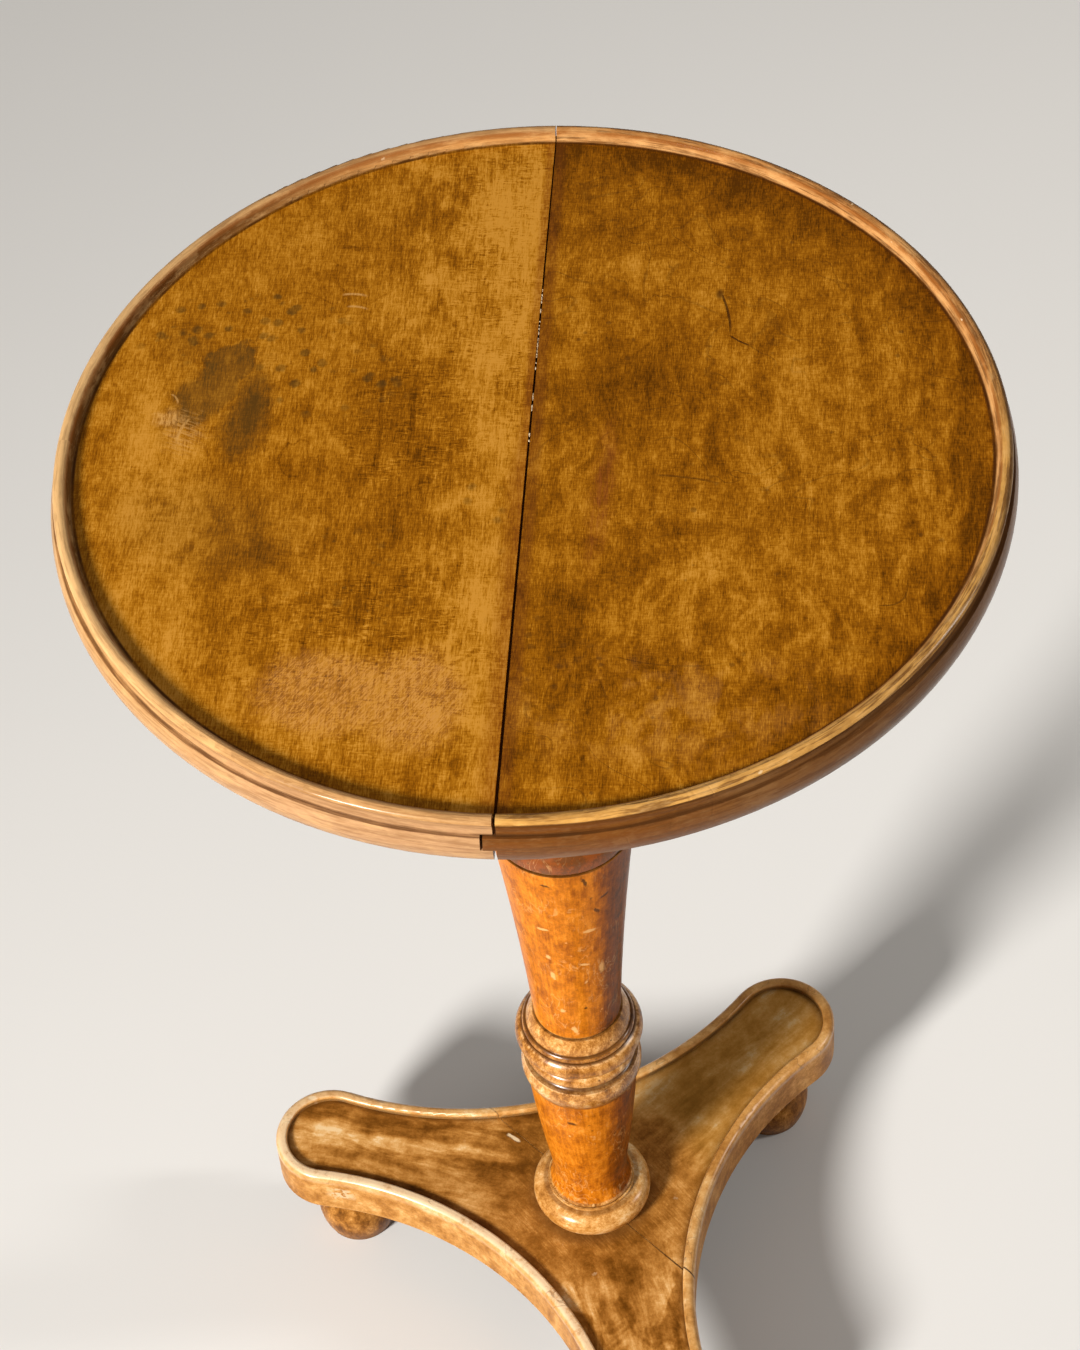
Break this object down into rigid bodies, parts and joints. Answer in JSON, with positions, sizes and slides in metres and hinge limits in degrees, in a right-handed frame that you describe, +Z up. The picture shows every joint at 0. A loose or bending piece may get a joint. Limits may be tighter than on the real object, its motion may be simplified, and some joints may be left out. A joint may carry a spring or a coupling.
{
  "type": "tilt top table",
  "caption": "Small round tilt-top table: dished two-board top with a moulded rim, turned pillar and a three-lobed platform on bun feet.",
  "frame": {"origin": "on the floor, on the pillar's axis", "axes": "+Z up; +Y along the seam of the top and the tilt axis; +X to the side that goes down when the top tips"},
  "size_m": [0.438, 0.438, 0.71],
  "materials": {
    "top_light": "waxed, worn",
    "top_dark": "waxed, worn",
    "pillar_wood": "old shellac, glossy",
    "platform_wood": "waxed, worn",
    "foot_wood": "waxed, worn",
    "block_wood": "bare, darkened",
    "bearer_wood": "bare, darkened",
    "wedge_wood": "end grain",
    "iron": "dull, oiled",
    "brass": "aged, satin",
    "spring_steel": "satin"
  },
  "bodies": {
    "stand": {"pillar": "pillar_wood", "base_collar": "pillar_wood", "pillar_wedge_top": "wedge_wood", "pillar_wedge_bottom": "wedge_wood", "platform_board_front": "platform_wood", "platform_board_back": "platform_wood", "foot_front": "foot_wood", "foot_right": "foot_wood", "foot_left": "foot_wood", "block": "block_wood", "pivot_pin_front": "iron", "pivot_pin_back": "iron", "keeper_plate": "brass", "keeper_screws": "brass"},
    "top": {"top_board_left": "top_light", "top_board_right": "top_dark", "bearer_front": "bearer_wood", "bearer_back": "bearer_wood", "bearer_screws": "iron", "catch_plate": "brass", "catch_case": "brass", "catch_spring": "spring_steel", "catch_screws": "brass"},
    "catch_bolt": {"catch_bolt": "brass", "catch_knob": "brass"}
  },
  "joints": [
    {"name": "top_tilt", "type": "hinge", "parent": "stand", "child": "top", "pos_m": [0.036, 0, 0.672], "axis": [0, 1, 0], "range_deg": [0, 90]},
    {"name": "catch_slide", "type": "slide", "parent": "top", "child": "catch_bolt", "axis": [1, 0, 0], "range_m": [0, 0.009]}
  ]
}
